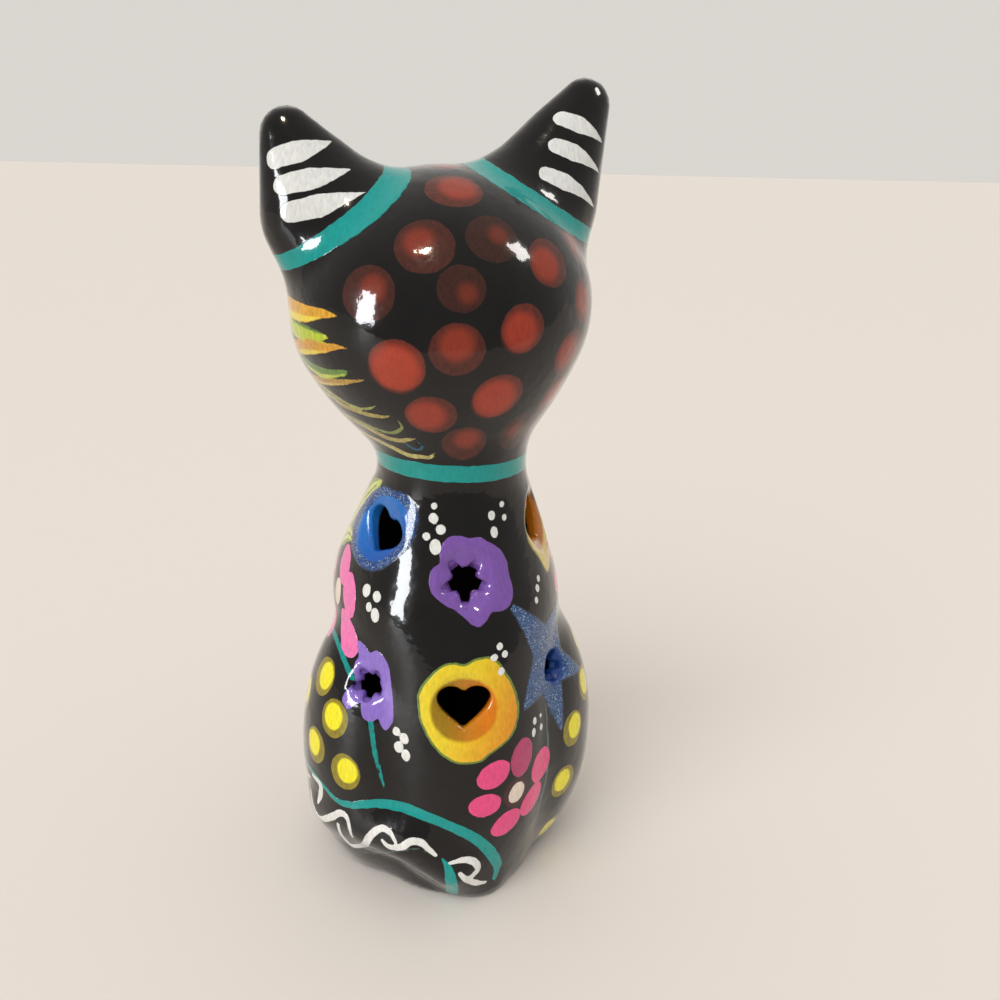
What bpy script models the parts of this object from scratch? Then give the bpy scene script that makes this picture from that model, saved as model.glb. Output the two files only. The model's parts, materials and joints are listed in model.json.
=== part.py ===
# A seated cat: one hollow shell of painted papier-mache, open underneath and pierced
# with hearts and stars. Lengths are in metres, +Z is up, the cat faces -Y, its left is +X.
import math

import bmesh
import bpy
import numpy as np
from mathutils import Matrix, Quaternion, Vector

# The figure's height, width and depth
HEIGHT = 0.200
WIDTH = 0.0836
DEPTH = 0.0748

# Its free form is laid out in shares of the height, drawn 0.418 wide and 0.374 deep
SHARES = np.array((WIDTH / 0.418, DEPTH / 0.374, HEIGHT))

# Thickness of the shell
WALL = 0.0045

# Faceting: facet size in shares, and the part of the facets kept where the form is flat
OUTER_FACET, OUTER_KEPT = 0.015, 0.40
INNER_FACET, INNER_KEPT = 0.029, 0.50

# Openings: widths of the pierced shapes, the rounded recess that each is sunk in, and the
# length of the facets round them
HEART_WIDTH = 0.0130
STAR_WIDTH = 0.0112
CREASE_STAR_WIDTH = 0.0090
RECESS_MARGIN = 0.0040
RECESS_DEPTH = 0.0022
RECESS_FLARE = 1.35
OPENING_FACET = 0.0012

# Where each opening sits: degrees round the body from the front, and height in shares; the
# tips of the shoulder hearts lean forward by some degrees
LOW_BACK_HEART = (172.0, 0.29)
SPINE_STAR = (174.0, 0.44)
LEFT_HEART, RIGHT_HEART = (113.0, 0.48), (-116.0, 0.48)
SHOULDER_HEART_LEAN = 19.0
LEFT_STAR, RIGHT_STAR = (125.0, 0.2975), (-132.0, 0.2975)
CHEST_HEART = (0.0, 0.42)
BODY_AXIS_Y = -0.02

# Head, in shares: the whole head leans to the cat's left about the neck
LEAN = math.radians(4.3)
LEAN_HEIGHT = 0.56
SKULL_AT, SKULL_RADII = (0.0, -0.025, 0.745), (0.174, 0.165, 0.145)
JAW_AT, JAW_RADIUS, JAW_TOP_RADIUS, JAW_BLEND = (0.0, -0.01, 0.594), 0.084, 0.13, 0.09
MUZZLE_AT, MUZZLE_RADII, MUZZLE_BLEND = (0.022, -0.1525, 0.67), (0.037, 0.037, 0.031), 0.04
NOSE_AT, NOSE_RADII, NOSE_BLEND = (0.0, -0.18, 0.6975), (0.019, 0.018, 0.0145), 0.02
HEAD_BLEND = 0.03

# Ears, in shares: flattened cones, the right one taller, with a hollow front
EAR_ROOT_AT, EAR_ROOT_RADIUS = (0.124, -0.0265, 0.8565), 0.075
LEFT_EAR_TIP_AT, RIGHT_EAR_TIP_AT = (0.1575, -0.0285, 0.9425), (0.187, -0.0285, 0.96)
EAR_TIP_RADIUS, EAR_FLATNESS, EAR_BLEND = 0.0305, 1.35, 0.037
EAR_HOLLOW_AT, EAR_HOLLOW_RADII = (0.1425, -0.1, 0.885), (0.0475, 0.0375, 0.07)
EAR_HOLLOW_BLEND = 0.02

# Trunk, in shares: chest cone into the neck, and the lobe of the back
CHEST_AT, CHEST_RADIUS = (0.0, -0.045, 0.375), 0.147
NECK_AT, NECK_RADIUS = (0.0, 0.0, 0.58), 0.073
BACK_AT, BACK_RADII, BACK_BLEND = (0.0, 0.0, 0.18), (0.1375, 0.155, 0.3), 0.06

# Limbs, in shares: haunches, forelegs and paws are given on the left and mirrored
HAUNCH_AT, HAUNCH_RADII, HAUNCH_BLEND = (0.075, -0.015, 0.17), (0.123, 0.125, 0.21), 0.015
LEG_TOP_AT, LEG_TOP_RADIUS = (0.06, -0.125, 0.33), 0.05
LEG_LOW_AT, LEG_LOW_RADIUS, LEG_BLEND = (0.0575, -0.145, 0.045), 0.0375, 0.025
PAW_AT, PAW_RADII, PAW_BLEND = (0.0575, -0.165, 0.025), (0.0425, 0.055, 0.035), 0.015

# Tail, in shares: it leaves the foot of the spine, rises and wraps the left haunch
TAIL_PATH = (
    ((-0.01, 0.1, 0.015), 0.0375),
    ((0.025, 0.1125, 0.06), 0.0425),
    ((0.07, 0.0975, 0.1), 0.0475),
    ((0.115, 0.0575, 0.1075), 0.0475),
    ((0.145, 0.005, 0.0975), 0.0475),
    ((0.145, -0.05, 0.09), 0.045),
    ((0.115, -0.1, 0.085), 0.04),
    ((0.07, -0.14, 0.075), 0.035),
)
TAIL_BLEND = 0.0125


# Form: the cat as one smooth level surface, zero on the skin and negative inside

def ball(points, centre, radii):
    """Distance to an ellipsoid, true near its surface."""
    offset = points - np.array(centre)
    radii = np.array(radii)
    near = np.linalg.norm(offset / radii, axis=-1)
    steep = np.linalg.norm(offset / radii ** 2, axis=-1) + 1e-9
    return near * (near - 1.0) / steep


def cone(points, low, high, low_radius, high_radius):
    """Distance to the hull of two spheres."""
    low = np.array(low)
    axis = np.array(high) - low
    length = np.linalg.norm(axis)
    axis = axis / length
    offset = points - low
    along = offset @ axis
    across = np.linalg.norm(offset - along[..., None] * axis, axis=-1)
    slope = (low_radius - high_radius) / length
    rise = math.sqrt(max(1.0 - slope * slope, 1e-6))
    side = across * rise + along * slope - low_radius
    at = along * rise - across * slope
    below = np.hypot(across, along) - low_radius
    above = np.hypot(across, along - length) - high_radius
    return np.where(at < 0.0, below, np.where(at > length * rise, above, side))


def blend(one, other, width):
    """Smooth union of two distances over a fillet of this width."""
    near = np.maximum(width - np.abs(one - other), 0.0) / width
    return np.minimum(one, other) - near * near * width * 0.25


def mirrored(points):
    """The points folded onto the cat's left side."""
    return np.stack([np.abs(points[..., 0]), points[..., 1], points[..., 2]], axis=-1)


def upright(points):
    """The points as the head sees them, before it leans."""
    x = points[..., 0]
    z = points[..., 2] - LEAN_HEIGHT
    across = x * math.cos(LEAN) - z * math.sin(LEAN)
    up = LEAN_HEIGHT + x * math.sin(LEAN) + z * math.cos(LEAN)
    return np.stack([across, points[..., 1], up], axis=-1)


def flattened(place):
    """A place in the space where a flattened ear is round."""
    middle = EAR_ROOT_AT[1]
    place = np.array(place)
    place[..., 1] = (place[..., 1] - middle) * EAR_FLATNESS + middle
    return place


def head_form(points):
    points = upright(points)
    paired = mirrored(points)
    skull = ball(points, SKULL_AT, SKULL_RADII)
    jaw = cone(points, SKULL_AT, JAW_AT, JAW_TOP_RADIUS, JAW_RADIUS)
    form = blend(skull, jaw, JAW_BLEND)
    form = blend(form, ball(paired, MUZZLE_AT, MUZZLE_RADII), MUZZLE_BLEND)
    form = blend(form, ball(points, NOSE_AT, NOSE_RADII), NOSE_BLEND)
    for side, tip in ((1, LEFT_EAR_TIP_AT), (-1, RIGHT_EAR_TIP_AT)):
        turned = flattened(points * (side, 1.0, 1.0))
        ear = cone(turned, EAR_ROOT_AT, flattened(tip), EAR_ROOT_RADIUS, EAR_TIP_RADIUS)
        form = blend(form, ear * 2.0 / (1.0 + EAR_FLATNESS), EAR_BLEND)
    hollow = ball(paired, EAR_HOLLOW_AT, EAR_HOLLOW_RADII)
    return -blend(-form, hollow, EAR_HOLLOW_BLEND)


def body_form(points):
    paired = mirrored(points)
    chest = cone(points, CHEST_AT, NECK_AT, CHEST_RADIUS, NECK_RADIUS)
    form = blend(ball(points, BACK_AT, BACK_RADII), chest, BACK_BLEND)
    form = blend(form, ball(paired, HAUNCH_AT, HAUNCH_RADII), HAUNCH_BLEND)
    leg = cone(paired, LEG_LOW_AT, LEG_TOP_AT, LEG_LOW_RADIUS, LEG_TOP_RADIUS)
    form = blend(form, leg, LEG_BLEND)
    form = blend(form, ball(paired, PAW_AT, PAW_RADII), PAW_BLEND)
    tail = np.full(form.shape, np.inf)
    for (low, low_radius), (high, high_radius) in zip(TAIL_PATH, TAIL_PATH[1:]):
        tail = np.minimum(tail, cone(points, low, high, low_radius, high_radius))
    return blend(form, tail, TAIL_BLEND)


def cat_form(points):
    return blend(body_form(points), head_form(points), HEAD_BLEND)


def steepness(points):
    """Gradient of the form per metre, by small differences."""
    step = 0.0005
    columns = []
    for axis, share in zip(np.eye(3), SHARES):
        rise = cat_form(points + step * axis) - cat_form(points - step * axis)
        columns.append(rise / (2.0 * step * share))
    return np.stack(columns, axis=-1)


def settled(points, depth):
    """Points moved along the gradient until they lie this many metres under the skin."""
    longest_step = 0.01
    flattest = 0.45 / HEIGHT
    for _ in range(14):
        slope = steepness(points)
        steep = np.linalg.norm(slope, axis=-1)
        short = cat_form(points) + depth * steep
        move = (short / np.maximum(steep, flattest) ** 2)[:, None] * slope / SHARES
        size = np.linalg.norm(move, axis=-1, keepdims=True)
        points = points - move * np.minimum(1.0, longest_step / (size + 1e-9))
    return points


# Meshes

def lump(ends, matrix):
    """Hull of one or more ellipsoids, each a centre and radii in shares, as a mesh."""
    form = bmesh.new()
    for centre, radii in ends:
        place = Matrix.Translation(centre) @ Matrix.Diagonal((*radii, 1.0))
        bmesh.ops.create_icosphere(form, subdivisions=3, radius=1.0, matrix=matrix @ place)
    if len(ends) > 1:
        hull = bmesh.ops.convex_hull(form, input=form.verts)
        inside = [item for item in hull["geom_interior"] if isinstance(item, bmesh.types.BMVert)]
        bmesh.ops.delete(form, geom=inside, context="VERTS")
    mesh = bpy.data.meshes.new("lump")
    form.to_mesh(mesh)
    form.free()
    return mesh


def stays(ends):
    """Whether a mass still has some thickness everywhere."""
    thinnest = min(min(radii) for _, radii in ends)
    return thinnest > 0.005


def lumps(shrink):
    """Every mass of the cat, in shares, made smaller all round by the shrink."""
    def even(radius, flatness=1.0):
        return (radius - shrink, radius / flatness - shrink, radius - shrink)

    def less(radii):
        return tuple(radius - shrink for radius in radii)

    body = [
        [(BACK_AT, less(BACK_RADII))],
        [(CHEST_AT, even(CHEST_RADIUS)), (NECK_AT, even(NECK_RADIUS))],
    ]
    head = [
        [(SKULL_AT, less(SKULL_RADII))],
        [(SKULL_AT, even(JAW_TOP_RADIUS)), (JAW_AT, even(JAW_RADIUS))],
        [(NECK_AT, even(NECK_RADIUS)), (JAW_AT, even(JAW_RADIUS))],
        [(NOSE_AT, less(NOSE_RADII))],
    ]
    for side, tip in ((1, LEFT_EAR_TIP_AT), (-1, RIGHT_EAR_TIP_AT)):
        flip = Vector((side, 1.0, 1.0))
        root = (Vector(EAR_ROOT_AT) * flip, even(EAR_ROOT_RADIUS, EAR_FLATNESS))
        head.append([root, (Vector(tip) * flip, even(EAR_TIP_RADIUS, EAR_FLATNESS))])
        head.append([(Vector(MUZZLE_AT) * flip, less(MUZZLE_RADII))])
        body.append([(Vector(HAUNCH_AT) * flip, less(HAUNCH_RADII))])
        body.append([(Vector(PAW_AT) * flip, less(PAW_RADII))])
        leg_low = (Vector(LEG_LOW_AT) * flip, even(LEG_LOW_RADIUS))
        body.append([leg_low, (Vector(LEG_TOP_AT) * flip, even(LEG_TOP_RADIUS))])
    for (low, low_radius), (high, high_radius) in zip(TAIL_PATH, TAIL_PATH[1:]):
        body.append([(low, even(low_radius)), (high, even(high_radius))])

    pivot = Matrix.Translation((0.0, 0.0, LEAN_HEIGHT))
    lean = pivot @ Matrix.Rotation(LEAN, 4, "Y") @ pivot.inverted()
    made = [lump(ends, Matrix.Identity(4)) for ends in body if stays(ends)]
    made += [lump(ends, lean) for ends in head if stays(ends)]
    return made


def evaluated_mesh(item):
    """The object's mesh with its modifiers applied."""
    bpy.context.view_layer.update()
    graph = bpy.context.evaluated_depsgraph_get()
    return bpy.data.meshes.new_from_object(item.evaluated_get(graph))


def new_object(name, mesh):
    item = bpy.data.objects.new(name, mesh)
    bpy.context.collection.objects.link(item)
    return item


def skin(name, depth, facet, kept):
    """Closed mesh lying this far under the cat's surface, with facets of this size."""
    masses = bmesh.new()
    for mesh in lumps(depth / HEIGHT):
        masses.from_mesh(mesh)
        bpy.data.meshes.remove(mesh)
    rough = bpy.data.meshes.new(name)
    masses.to_mesh(rough)
    masses.free()
    item = new_object(name, rough)
    remesh = item.modifiers.new("Even facets", "REMESH")
    remesh.mode = "VOXEL"
    remesh.voxel_size = facet
    thin = item.modifiers.new("Fewer facets where flat", "DECIMATE")
    thin.ratio = kept
    item.data = evaluated_mesh(item)
    item.modifiers.clear()
    bpy.data.meshes.remove(rough)
    points = np.empty(len(item.data.vertices) * 3)
    item.data.vertices.foreach_get("co", points)
    points = settled(points.reshape(-1, 3), depth) * SHARES
    item.data.vertices.foreach_set("co", points.ravel())
    item.data.update()
    return item


def cut_flat(item):
    """Removes what lies below the ground and closes the cut with one flat face."""
    form = bmesh.new()
    form.from_mesh(item.data)
    everything = form.verts[:] + form.edges[:] + form.faces[:]
    cut = bmesh.ops.bisect_plane(
        form, geom=everything, dist=1e-6, plane_co=(0, 0, 0), plane_no=(0, 0, 1), clear_inner=True
    )
    rim = [part for part in cut["geom_cut"] if isinstance(part, bmesh.types.BMEdge)]
    bmesh.ops.edgeloop_fill(form, edges=rim)
    bmesh.ops.recalc_face_normals(form, faces=form.faces[:])
    form.to_mesh(item.data)
    form.free()


# Openings

def heart(count):
    """Outline of a plump heart one wide, its blunt tip down, as (across, up) points."""
    outline = []
    for index in range(count):
        turn = math.tau * (index + 0.5) / count
        low = 0.5 - 0.5 * math.cos(turn)
        across = 13.5 * math.sin(turn) ** 3 + 5.0 * low * math.sin(turn)
        up = 12.0 * math.cos(turn) - 4.6 * math.cos(2 * turn) - 1.6 * math.cos(3 * turn)
        up -= 0.4 * math.cos(4 * turn)
        outline.append((across / 32.0, (up + 2.5) / 32.0))
    return outline


def star(count):
    """Outline of a plump star one wide, one of its five points down, as (across, up) points."""
    outline = []
    for index in range(count):
        turn = math.tau * index / count
        arm = 0.5 - 0.5 * math.cos(5 * turn)
        radius = 0.26 + 0.26 * arm ** 1.3
        outline.append((radius * math.sin(turn), radius * math.cos(turn)))
    return outline


def seat(angle, height):
    """Point on the skin, and its outward direction, at an angle round the body."""
    turn = math.radians(angle)
    outward = np.array([math.sin(turn), -math.cos(turn), 0.0])
    inner, outer = 0.0, 0.3
    for _ in range(30):
        middle = 0.5 * (inner + outer)
        point = np.array([[0.0, BODY_AXIS_Y, height]]) + middle * outward
        if cat_form(point)[0] < 0.0:
            inner = middle
        else:
            outer = middle
    slope = steepness(point)[0]
    return Vector(point[0] * SHARES), Vector(slope).normalized()


def opening(name, place, shape, width, tilt=0.0):
    """Cutter for one pierced opening: a rounded recess narrowing to the tilted shape."""
    outline = shape(10 * max(2, round(math.pi * width / OPENING_FACET / 10)))
    centre, outward = seat(*place)
    across = Vector((0, 0, 1)).cross(outward).normalized()
    across.rotate(Quaternion(outward, math.radians(tilt)))
    up = outward.cross(across)
    recess = 0.5 * (width + RECESS_MARGIN)
    # Each ring: height over the skin, radius of its round, part of the outline, its swell
    rings = [
        (1.5 * RECESS_DEPTH, RECESS_FLARE * recess, 0.0, 1.0),
        (0.0, recess, 0.0, 1.0),
        (-0.55 * RECESS_DEPTH, 0.8 * recess, 0.35, 1.0),
        (-RECESS_DEPTH, recess, 1.0, 1.06),
        (-1.3 * RECESS_DEPTH, recess, 1.0, 1.0),
        (-RECESS_DEPTH - 2.6 * WALL, recess, 1.0, 1.0),
    ]
    form = bmesh.new()
    loops = []
    for height, radius, part, swell in rings:
        loop = []
        for flat in outline:
            direction = Vector(flat).normalized() * radius
            exact = Vector(flat) * width * swell
            spot = direction.lerp(exact, part)
            loop.append(form.verts.new(centre + across * spot.x + up * spot.y + outward * height))
        loops.append(loop)
    for upper, lower in zip(loops, loops[1:]):
        for index in range(len(upper)):
            after = (index + 1) % len(upper)
            form.faces.new((upper[index], upper[after], lower[after], lower[index]))
    form.faces.new(loops[0])
    form.faces.new(loops[-1])
    bmesh.ops.recalc_face_normals(form, faces=form.faces[:])
    mesh = bpy.data.meshes.new(name)
    form.to_mesh(mesh)
    form.free()
    cutter = new_object(name, mesh)
    cutter.hide_render = True
    cutter.display_type = "WIRE"
    return cutter


def openings():
    """All the cutters."""
    lean = SHOULDER_HEART_LEAN
    return [
        opening("low back heart", LOW_BACK_HEART, heart, HEART_WIDTH),
        opening("spine star", SPINE_STAR, star, STAR_WIDTH),
        opening("chest heart", CHEST_HEART, heart, HEART_WIDTH),
        opening("left heart", LEFT_HEART, heart, HEART_WIDTH, -lean),
        opening("right heart", RIGHT_HEART, heart, HEART_WIDTH, lean),
        opening("left star", LEFT_STAR, star, CREASE_STAR_WIDTH),
        opening("right star", RIGHT_STAR, star, CREASE_STAR_WIDTH),
    ]


def lacquer():
    """Glossy black lacquer over paint."""
    material = bpy.data.materials.new("black lacquer")
    material.use_nodes = True
    shader = material.node_tree.nodes["Principled BSDF"]
    shader.inputs["Base Color"].default_value = (0.012, 0.011, 0.012, 1.0)
    shader.inputs["Roughness"].default_value = 0.12
    shader.inputs["Metallic"].default_value = 0.0
    return material


def make_cat():
    cat = skin("cat", 0.0, OUTER_FACET, OUTER_KEPT)
    cut_flat(cat)
    cavity = skin("cavity", WALL, INNER_FACET, INNER_KEPT)
    cavity.hide_render = True
    cavity.display_type = "WIRE"
    for cutter in [cavity] + openings():
        cut = cat.modifiers.new(cutter.name, "BOOLEAN")
        cut.operation = "DIFFERENCE"
        cut.solver = "EXACT"
        cut.object = cutter
    cat.data.materials.append(lacquer())
    corners = [Vector(corner) for corner in cat.bound_box]
    middle = (corners[0] + corners[6]) / 2.0
    for item in bpy.context.collection.objects:
        item.location = (-middle.x, -middle.y, 0.0)
    cat.data.shade_smooth()
    cat.data.set_sharp_from_angle(angle=math.radians(40.0))


for old in list(bpy.data.objects):
    bpy.data.objects.remove(old)
make_cat()
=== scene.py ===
import json
import math

import bpy
import numpy as np
from mathutils import Matrix

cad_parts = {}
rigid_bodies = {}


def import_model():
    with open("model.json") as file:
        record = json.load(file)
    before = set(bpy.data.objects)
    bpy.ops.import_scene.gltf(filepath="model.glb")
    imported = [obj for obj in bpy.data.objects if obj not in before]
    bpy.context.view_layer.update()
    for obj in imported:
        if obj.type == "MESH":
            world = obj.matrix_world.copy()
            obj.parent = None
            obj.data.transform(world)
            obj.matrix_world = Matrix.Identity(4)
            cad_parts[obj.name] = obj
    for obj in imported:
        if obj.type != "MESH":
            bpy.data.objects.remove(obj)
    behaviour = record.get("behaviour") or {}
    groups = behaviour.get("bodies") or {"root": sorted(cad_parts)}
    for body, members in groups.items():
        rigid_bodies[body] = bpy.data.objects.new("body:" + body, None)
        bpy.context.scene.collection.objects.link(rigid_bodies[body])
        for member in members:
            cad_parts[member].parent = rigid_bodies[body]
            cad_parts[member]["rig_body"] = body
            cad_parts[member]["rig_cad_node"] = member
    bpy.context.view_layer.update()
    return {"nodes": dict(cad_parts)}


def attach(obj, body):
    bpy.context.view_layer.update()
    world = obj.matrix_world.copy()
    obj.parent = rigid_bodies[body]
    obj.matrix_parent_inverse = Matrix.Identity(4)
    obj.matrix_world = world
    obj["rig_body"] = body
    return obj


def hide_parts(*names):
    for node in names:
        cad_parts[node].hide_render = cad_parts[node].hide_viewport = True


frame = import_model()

# The shell: one hollow body moulded from layers of paper and smoothed with filler, ears and
# tail included, with a wall of about 4.5 mm. It is open underneath and stands on its rim.
# Its form is a blend of balls and cones in millimetres, the cat facing -Y.
MM = 0.001
WALL = 4.5
RAW_DEPTH = WALL - 0.9
BEHIND_WALL = WALL + 1.5
SHELL_MESH = 1.7
BODY_AXIS_Y = -4.0
LEAN = math.radians(4.3)
LEAN_HEIGHT = 112.0
SKULL_AT, SKULL_RADII = (0.0, -5.0, 149.0), (34.8, 33.0, 29.0)
JAW_AT, JAW_RADIUS, JAW_TOP_RADIUS, JAW_BLEND = (0.0, -2.0, 118.8), 16.8, 26.0, 18.0
MUZZLE_AT, MUZZLE_RADII, MUZZLE_BLEND = (4.4, -30.5, 134.0), (7.4, 7.4, 6.2), 8.0
NOSE_AT, NOSE_RADII, NOSE_BLEND = (0.0, -36.0, 139.5), (3.8, 3.6, 2.9), 4.0
HEAD_BLEND = 6.0
EAR_ROOT_AT, EAR_ROOT_RADIUS = (24.8, -5.3, 171.3), 15.0
EAR_TIPS_AT, EAR_TIP_RADIUS = {-1: (37.4, -5.7, 192.0), 1: (31.5, -5.7, 188.5)}, 6.1
EAR_FLATNESS, EAR_BLEND = 1.35, 7.4
EAR_HOLLOW_AT, EAR_HOLLOW_RADII, EAR_HOLLOW_BLEND = (28.5, -20.0, 177.0), (9.5, 7.5, 14.0), 4.0
CHEST_AT, CHEST_RADIUS = (0.0, -9.0, 75.0), 29.4
NECK_AT, NECK_RADIUS = (0.0, 0.0, 116.0), 14.6
BACK_AT, BACK_RADII, BACK_BLEND = (0.0, 0.0, 36.0), (27.5, 31.0, 60.0), 12.0
HAUNCH_AT, HAUNCH_RADII, HAUNCH_BLEND = (15.0, -3.0, 34.0), (24.6, 25.0, 42.0), 3.0
LEG_TOP_AT, LEG_TOP_RADIUS = (12.0, -25.0, 66.0), 10.0
LEG_LOW_AT, LEG_LOW_RADIUS, LEG_BLEND = (11.5, -29.0, 9.0), 7.5, 5.0
PAW_AT, PAW_RADII, PAW_BLEND = (11.5, -33.0, 5.0), (8.5, 11.0, 7.0), 3.0
TAIL_PATH = (
    ((-2.0, 20.0, 3.0), 7.5),
    ((5.0, 22.5, 12.0), 8.5),
    ((14.0, 19.5, 20.0), 9.5),
    ((23.0, 11.5, 21.5), 9.5),
    ((29.0, 1.0, 19.5), 9.5),
    ((29.0, -10.0, 18.0), 9.0),
    ((23.0, -20.0, 17.0), 8.0),
    ((14.0, -28.0, 15.0), 7.0),
)
TAIL_BLEND = 2.5


def ball(points, centre, radii):
    """Distance to an ellipsoid, true near its surface."""
    offset = points - np.array(centre)
    radii = np.array(radii)
    near = np.linalg.norm(offset / radii, axis=-1)
    steep = np.linalg.norm(offset / radii ** 2, axis=-1) + 1e-9
    return near * (near - 1.0) / steep


def cone(points, low, high, low_radius, high_radius):
    """Distance to the hull of two spheres."""
    low = np.array(low)
    axis = np.array(high) - low
    length = np.linalg.norm(axis)
    axis = axis / length
    offset = points - low
    along = offset @ axis
    across = np.linalg.norm(offset - along[..., None] * axis, axis=-1)
    slope = (low_radius - high_radius) / length
    rise = math.sqrt(max(1.0 - slope * slope, 1e-6))
    side = across * rise + along * slope - low_radius
    at = along * rise - across * slope
    below = np.hypot(across, along) - low_radius
    above = np.hypot(across, along - length) - high_radius
    return np.where(at < 0.0, below, np.where(at > length * rise, above, side))


def blend(one, other, width):
    """Smooth union of two distances over a fillet of this width."""
    near = np.maximum(width - np.abs(one - other), 0.0) / width
    return np.minimum(one, other) - near * near * width * 0.25


def carved(form, hole, width):
    """The form with the hole taken out, its edge rounded over this width."""
    return -blend(-form, hole, width)


def mirrored(points):
    return np.stack([np.abs(points[..., 0]), points[..., 1], points[..., 2]], axis=-1)


def upright(points):
    """The points as the head sees them, before it leans."""
    x = points[..., 0]
    z = points[..., 2] - LEAN_HEIGHT
    across = x * math.cos(LEAN) - z * math.sin(LEAN)
    up = LEAN_HEIGHT + x * math.sin(LEAN) + z * math.cos(LEAN)
    return np.stack([across, points[..., 1], up], axis=-1)


def leaned(points):
    """Places on the upright head, where the lean takes them."""
    x, z = points[..., 0], points[..., 2] - LEAN_HEIGHT
    across = x * math.cos(LEAN) + z * math.sin(LEAN)
    up = LEAN_HEIGHT - x * math.sin(LEAN) + z * math.cos(LEAN)
    return np.stack([across, points[..., 1], up], axis=-1)


def flattened(place):
    """A place in the space where a flattened ear is round."""
    place = np.array(place, dtype=float)
    place[..., 1] = (place[..., 1] - EAR_ROOT_AT[1]) * EAR_FLATNESS + EAR_ROOT_AT[1]
    return place


def head_form(points):
    points = upright(points)
    paired = mirrored(points)
    skull = ball(points, SKULL_AT, SKULL_RADII)
    jaw = cone(points, SKULL_AT, JAW_AT, JAW_TOP_RADIUS, JAW_RADIUS)
    form = blend(skull, jaw, JAW_BLEND)
    form = blend(form, ball(paired, MUZZLE_AT, MUZZLE_RADII), MUZZLE_BLEND)
    form = blend(form, ball(points, NOSE_AT, NOSE_RADII), NOSE_BLEND)
    round_points = flattened(points)
    for side, tip in EAR_TIPS_AT.items():
        root = (side * EAR_ROOT_AT[0], EAR_ROOT_AT[1], EAR_ROOT_AT[2])
        tip = flattened((side * tip[0], tip[1], tip[2]))
        ear = cone(round_points, root, tip, EAR_ROOT_RADIUS, EAR_TIP_RADIUS)
        form = blend(form, ear * 2.0 / (1.0 + EAR_FLATNESS), EAR_BLEND)
    return carved(form, ball(paired, EAR_HOLLOW_AT, EAR_HOLLOW_RADII), EAR_HOLLOW_BLEND)


def body_form(points):
    paired = mirrored(points)
    chest = cone(points, CHEST_AT, NECK_AT, CHEST_RADIUS, NECK_RADIUS)
    form = blend(ball(points, BACK_AT, BACK_RADII), chest, BACK_BLEND)
    form = blend(form, ball(paired, HAUNCH_AT, HAUNCH_RADII), HAUNCH_BLEND)
    leg = cone(paired, LEG_LOW_AT, LEG_TOP_AT, LEG_LOW_RADIUS, LEG_TOP_RADIUS)
    form = blend(form, leg, LEG_BLEND)
    form = blend(form, ball(paired, PAW_AT, PAW_RADII), PAW_BLEND)
    tail = np.full(form.shape, np.inf)
    for (low, low_radius), (high, high_radius) in zip(TAIL_PATH, TAIL_PATH[1:]):
        tail = np.minimum(tail, cone(points, low, high, low_radius, high_radius))
    return blend(form, tail, TAIL_BLEND)


def cat_form(points):
    return blend(body_form(points), head_form(points), HEAD_BLEND)


def steepness(form, points):
    """Gradient of a form, by small differences."""
    step = 0.08
    columns = []
    for axis in np.eye(3):
        rise = form(points + step * axis) - form(points - step * axis)
        columns.append(rise / (2.0 * step))
    return np.stack(columns, axis=-1)


def settled(form, points, rounds):
    """Points moved along the gradient until they lie on the form."""
    longest_step = 0.8
    for _ in range(rounds):
        slope = steepness(form, points)
        move = form(points) / np.maximum(np.sum(slope * slope, axis=-1), 0.25)
        move = move[:, None] * slope
        size = np.linalg.norm(move, axis=-1, keepdims=True)
        points = points - move * np.minimum(1.0, longest_step / (size + 1e-9))
    return points


def seat(start, outward):
    """Where lines from inside the cat meet the skin, and the skin's direction there."""
    start, outward = np.array(start, dtype=float), np.array(outward, dtype=float)
    inner = np.zeros(np.broadcast(start, outward).shape[:-1])
    outer = inner + 60.0
    for _ in range(26):
        middle = 0.5 * (inner + outer)
        within = cat_form(start + middle[..., None] * outward) < 0.0
        inner = np.where(within, middle, inner)
        outer = np.where(within, outer, middle)
    centre = start + middle[..., None] * outward
    slope = steepness(cat_form, centre)
    return centre, slope / np.linalg.norm(slope, axis=-1, keepdims=True)


def on_body(angle, height):
    """Places given by degrees round the body from the front, and millimetres of height."""
    turn = np.radians(angle)
    level = 0.0 * turn
    start = np.stack([level, level + BODY_AXIS_Y, level + height], axis=-1)
    return seat(start, np.stack([np.sin(turn), -np.cos(turn), level], axis=-1))


def on_head(angle, lift):
    """Places given by degrees round the head from the front, and degrees of lift."""
    turn, rise = np.radians(angle), np.radians(lift)
    flat = np.cos(rise)
    towards = np.stack([np.sin(turn) * flat, -np.cos(turn) * flat, np.sin(rise)], axis=-1)
    start = leaned(np.array(SKULL_AT))
    return seat(start, leaned(towards + SKULL_AT) - start)


def on_ear(across, height, face):
    """Places on an ear, seen square on; face is 1 for its back and -1 for its front."""
    across, height = np.array(across), np.array(height)
    level = 0.0 * across + EAR_ROOT_AT[1]
    return seat(leaned(np.stack([across, level, height], axis=-1)), (0.0, face, 0.0))


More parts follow.
